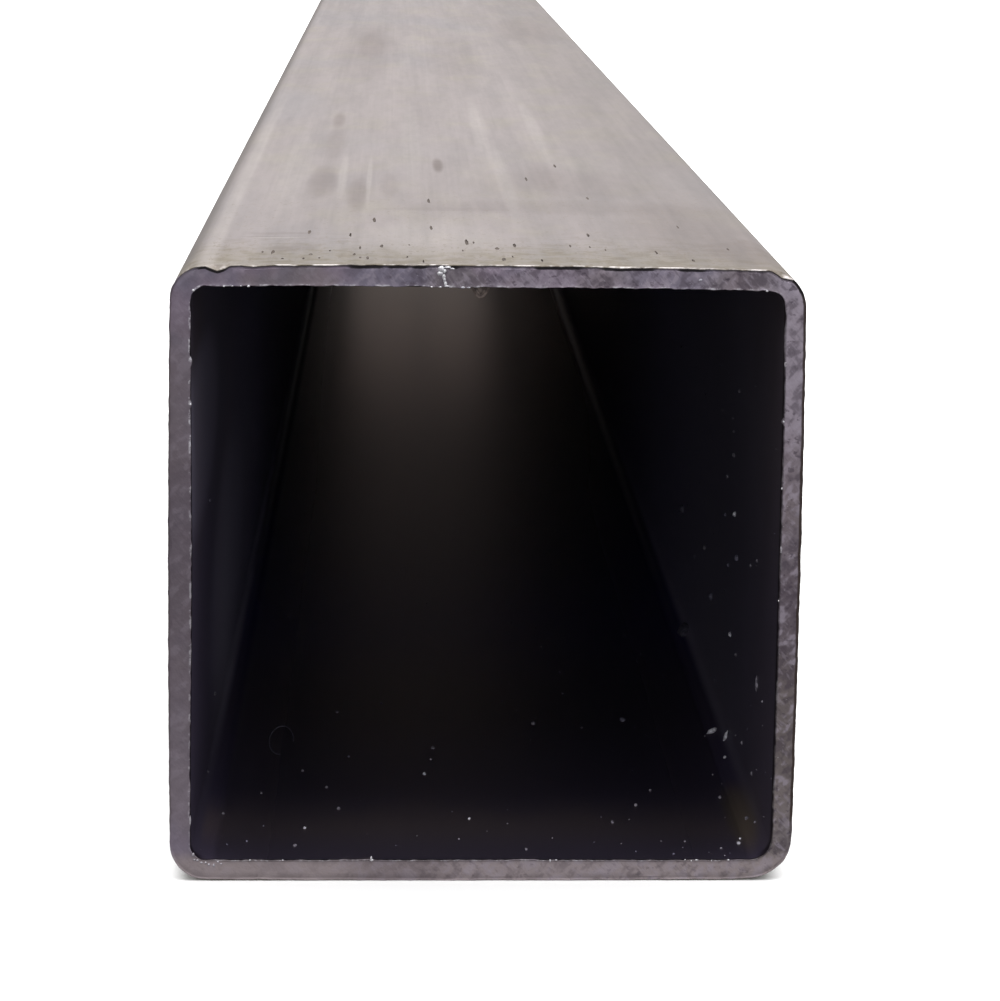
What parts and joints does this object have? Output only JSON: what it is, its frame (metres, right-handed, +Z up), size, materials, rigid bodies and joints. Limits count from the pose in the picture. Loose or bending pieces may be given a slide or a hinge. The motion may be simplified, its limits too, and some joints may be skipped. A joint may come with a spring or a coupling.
{
  "type": "square metal tube",
  "caption": "Square steel hollow section with rounded long edges, an internal weld bead and plain sawn ends; lies on one flat side.",
  "frame": {"origin": "on the floor, under the middle of the tube's length and width", "axes": "+Y along the tube, +Z up through the wall with the weld; the end at -Y faces the viewer"},
  "size_m": [0.06, 1, 0.06],
  "materials": {
    "mild_steel": "bare mill finish, dull grey, lightly stained and pitted; purple-grey sawn ends; dark bore"
  },
  "bodies": {
    "root": {"square_tube": "mild_steel"}
  },
  "joints": []
}
